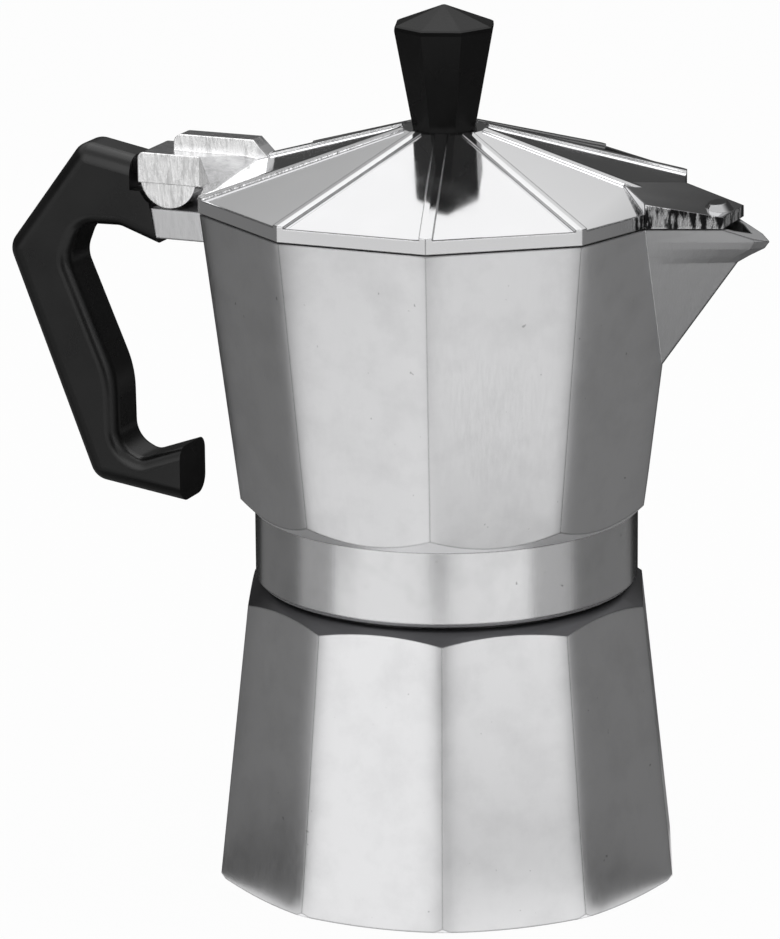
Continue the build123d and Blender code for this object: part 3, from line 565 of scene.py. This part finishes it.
def valve_coil():
    """Wire centre: r cos t and r sin t across the valve's axis, t * pitch along it. The wire is a circle
    round that."""
    axis = np.array([math.cos(VALVE_ANGLE), math.sin(VALVE_ANGLE), 0.0])
    across = np.array([-axis[1], axis[0], 0.0])
    upright = np.array([0.0, 0.0, 1.0])
    solid = np.array([vertex.co[:] for vertex in nodes["valve_spring"].data.vertices])
    inner, outer = (solid @ axis).min() + WIRE_R_MM * MM, (solid @ axis).max() - WIRE_R_MM * MM
    t = np.linspace(0, 2 * math.pi * COIL_TURNS, HELIX_POINTS)[:, None]
    out = np.cos(t) * across + np.sin(t) * upright
    pitch = (outer - inner) / t[-1]
    place = VALVE_HEIGHT_MM * MM * upright
    centre = COIL_R_MM * MM * out + (inner + pitch * t) * axis + place
    ring = np.linspace(0, 2 * math.pi, WIRE_SIDES, endpoint=False)[None, :, None]
    points = centre[:, None, :] + WIRE_R_MM * MM * (np.cos(ring) * out[:, None, :] + np.sin(ring) * axis)
    rows, columns = points.shape[:2]
    index = np.arange(rows * columns).reshape(rows, columns)
    after = np.roll(index, -1, axis=1)
    quads = np.stack([index[:-1], index[1:], after[1:], after[:-1]], -1).reshape(-1, 4)
    ends = [index[0].tolist(), index[-1, ::-1].tolist()]
    piece = new_piece("valve_coil", points, quads.tolist() + ends, steel)
    piece.data.shade_smooth()
    return piece, tuple(outer * axis + place), tuple(inner * axis + place)


coil, coil_outer, coil_inner = valve_coil()
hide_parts("valve_spring")
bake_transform(coil)
print("valve spring of", COIL_TURNS, "turns")

# %% [markdown]
# ## Studio
#
# Bare metal has no colour of its own to speak of: it looks like what stands round it. So the studio is built
# from what each facet should mirror. Two upright soft boxes stand at the front left and front right, a broad
# one hangs overhead, and dark cards close off the sides and the back low down, as a product photographer
# does. The cards show only in reflections. The floor and the world are white to the camera and to
# reflections.

# %% Floor and world
FLOOR_HALF = 4.0        # metres
FLOOR_DROP = 0.0003     # metres: keeps the floor clear of the pot's base
PLAIN_SHARE = 0.95      # how much of the floor is plain white in the picture; the rest takes the shadow
AMBIENT = 0.55


def stage_piece(name, points, faces, material):
    """Studio object, which isn't part of the pot."""
    piece = new_piece(name, points, faces, material)
    return piece


def seen_ray(tree):
    """1 for the rays that make up the picture: straight from the camera, mirrored or through glass."""
    path = add(tree, "LightPath").outputs
    seen = add(tree, "Math", {"operation": "MAXIMUM"}, i0=path["Is Camera Ray"], i1=path["Is Glossy Ray"])
    return add(tree, "Math", {"operation": "MAXIMUM"}, i0=seen, i1=path["Is Transmission Ray"])


def white_floor():
    """White paper: diffuse for the light, and mostly plain white in the picture, with a soft shadow left."""
    material, tree = new_material("white_paper_sweep")
    paper = add(tree, "BsdfDiffuse", Color="#e8e8e8")
    plain = add(tree, "Emission", Color=(1, 1, 1, 1), Strength=1.0)
    share = add(tree, "Math", {"operation": "MULTIPLY"}, i0=seen_ray(tree), i1=PLAIN_SHARE)
    mix = add(tree, "MixShader", i0=share, i1=paper, i2=plain)
    add(tree, "OutputMaterial", Surface=mix)
    return material


corners = np.array([[-1, -1, 0], [1, -1, 0], [1, 1, 0], [-1, 1, 0]]) * FLOOR_HALF - [0, 0, FLOOR_DROP]
stage_piece("floor", corners, [[0, 1, 2, 3]], white_floor())

world = bpy.data.worlds.new("studio")
bpy.context.scene.world = world
world.use_nodes = True
tree = world.node_tree
tree.nodes.clear()
level = add(tree, "MapRange", Value=seen_ray(tree), To_Min=AMBIENT, To_Max=1.0)
sky = add(tree, "Background", Color=(1, 1, 1, 1), Strength=level)
add(tree, "OutputWorld", Surface=sky)
print("floor and world ready")

# %% Dark cards
CARD_R = 2.2            # metres: how far out the back card and most floor cards reach
BASE_R = 0.047          # metres: just outside the pot's base
CARD_LIFT = 1e-5        # metres: each floor card lies this far above the one before
CARD_POINTS = 49
FADE_HEIGHTS = (1.0, 1.75)      # metres: where the back card goes from dark to white
FADE_LEVEL = 0.16               # its level at the lower of these


def card_material(name, level):
    """Plain grey that glows evenly, so that a mirror shows it at that level."""
    material, tree = new_material(name)
    glow = add(tree, "Emission", Color=(level, level, level, 1), Strength=1.0)
    add(tree, "OutputMaterial", Surface=glow)
    return material


def fading_card():
    """Dark below, white above: the level follows height, as on a backdrop lit from the top."""
    material, tree = new_material("fading_card")
    start, end = FADE_HEIGHTS
    position = add(tree, "NewGeometry").outputs["Position"]
    height = add(tree, "SeparateXYZ", Vector=position).outputs["Z"]
    lower = add(tree, "ValToRGB", stops=((0.0, 0.05), (0.80, 0.07), (start, FADE_LEVEL)), Fac=height)
    upper = add(tree, "MapRange", Value=height, From_Min=start, From_Max=end, To_Min=FADE_LEVEL, To_Max=1.0)
    above = add(tree, "Math", {"operation": "GREATER_THAN"}, i0=height, i1=start)
    level = add(tree, "Mix", Factor=above, A=lower, B=upper)
    glow = add(tree, "Emission", Color=(1, 1, 1, 1), Strength=level)
    add(tree, "OutputMaterial", Surface=glow)
    return material


def card(name, azimuths, radii, heights, material):
    """Curved card: a strip between two azimuths (degrees from +X), from one radius and height to another
    (metres)."""
    turn = np.radians(np.linspace(*azimuths, CARD_POINTS))[:, None]
    r, z = np.array(radii)[None, :], np.array(heights)[None, :]
    points = np.stack([r * np.cos(turn), r * np.sin(turn), z + 0 * turn], -1)
    index = np.arange(turn.size * 2).reshape(-1, 2)
    faces = np.stack([index[:-1, 0], index[1:, 0], index[1:, 1], index[:-1, 1]], -1)
    piece = stage_piece(name, points, faces.tolist(), material)
    for ray in ("camera", "diffuse", "transmission", "volume_scatter", "shadow"):
        setattr(piece, "visible_" + ray, False)


card("back_card", (4, 216), (CARD_R, CARD_R), (0.0, 1.9), fading_card())
card("front_card", (-86, -50), (1.6, 1.6), (0.0, 0.55), card_material("front_card", 0.05))
floor_cards = {          # azimuths in degrees, radii in metres, level
    "behind": ((70, 152), (BASE_R, CARD_R), 0.015),
    "far_left": ((152, 200), (BASE_R, CARD_R), 0.17),
    # Painted shade: a dark floor card at the base's left, for the pot's shadow on the floor as the metal
    # mirrors it.
    "near_left_shade": ((200, 242), (BASE_R, 0.14), 0.10),
    "left": ((200, 226), (0.14, CARD_R), 0.40),
    "front_left": ((226, 240), (0.29, CARD_R), 0.40),
    "front_far": ((240, 340), (0.40, CARD_R), 0.65),
    "far_right": ((8, 70), (BASE_R, CARD_R), 0.20),
    # Painted shade: a dark floor card at the base's right, for the pot's shadow on the floor as the metal
    # mirrors it.
    "near_right_shade": ((-20, 8), (BASE_R, 0.16), 0.12),
    "right": ((-20, 8), (0.16, CARD_R), 0.50),
    # Painted shade: a dark floor card in front of the spout, for the pot's shadow on the floor as the metal
    # mirrors it.
    "spout": ((-65, -20), (0.095, 0.145), 0.04),
    "front": ((-77, -67), (0.22, 0.40), 0.55),
    "front_edge": ((-80, -60), (0.40, 1.6), 0.05),
}
for place, (name, (azimuths, radii, level)) in enumerate(floor_cards.items()):
    height = place * CARD_LIFT
    card(name + "_floor_card", azimuths, radii, (height, height), card_material(name + "_card", level))
print(2 + len(floor_cards), "cards")

# %% Soft boxes
AIM_HEIGHT = 0.09       # metres: the middle of the pot


def soft_box(name, azimuth, distance, height, size, radiance):
    """Area lamp facing the pot. Its power is radiance * pi * area, so a mirror shows it at that level."""
    data = bpy.data.lights.new(name, "AREA")
    data.shape = "RECTANGLE"
    data.size, data.size_y = size
    data.energy = radiance * math.pi * size[0] * size[1]
    lamp = bpy.data.objects.new(name, data)
    bpy.context.scene.collection.objects.link(lamp)
    turn = math.radians(azimuth)
    lamp.location = (distance * math.cos(turn), distance * math.sin(turn), height)
    aim = Vector((0, 0, AIM_HEIGHT)) - lamp.location
    lamp.rotation_euler = aim.to_track_quat("-Z", "Y").to_euler()
    lamp.visible_camera = False
    print(name, round(data.energy, 2), "W")


soft_box("left_box", azimuth=-108, distance=1.3, height=0.55, size=(0.8, 1.1), radiance=1.12)
soft_box("right_box", azimuth=-32, distance=1.3, height=0.55, size=(0.7, 1.1), radiance=0.8)
soft_box("top_box", azimuth=90, distance=0.25, height=1.4, size=(1.4, 1.2), radiance=1.2)

# %% [markdown]
# ## Camera
#
# The photograph was taken with a long lens, from the front, a little above the lid and a little towards the
# spout. The camera is placed by its position and three angles instead of a target, so that its slight roll
# is kept too.

# %% Camera at the photograph's angle
IMAGE_WIDTH = 780
FOCAL_PX = 5490.97
VIEW_TURN = 22.95       # degrees from the handle plane's normal towards the spout
VIEW_PITCH = 15.2686    # degrees down
VIEW_ROLL = -0.4495
CAMERA_MM = (376.95, -917.23, 347.55)
turn, pitch, roll = (math.radians(v) for v in (VIEW_TURN, VIEW_PITCH, VIEW_ROLL))
ahead = Vector((-math.sin(turn) * math.cos(pitch), math.cos(turn) * math.cos(pitch), -math.sin(pitch)))
level_right = Vector((math.cos(turn), math.sin(turn), 0))
level_up = level_right.cross(ahead)
right = level_right * math.cos(roll) + level_up * math.sin(roll)
up = level_up * math.cos(roll) - level_right * math.sin(roll)
data = bpy.data.cameras.new("camera")
data.sensor_fit = "HORIZONTAL"
data.sensor_width = 36.0
data.lens = data.sensor_width * FOCAL_PX / IMAGE_WIDTH
data.clip_end = 50.0
camera = bpy.data.objects.new("camera", data)
bpy.context.scene.collection.objects.link(camera)
axes = Matrix((right, up, -ahead)).transposed().to_4x4()
camera.matrix_world = Matrix.Translation(Vector(CAMERA_MM) * MM) @ axes
bpy.context.scene.camera = camera
bpy.context.scene.view_settings.view_transform = "Standard"
print("camera lens", round(data.lens, 1), "mm")

# %% [markdown]
# ## Last update
#
# The view layer is brought up to date.

# %% Last update
bpy.context.view_layer.update()
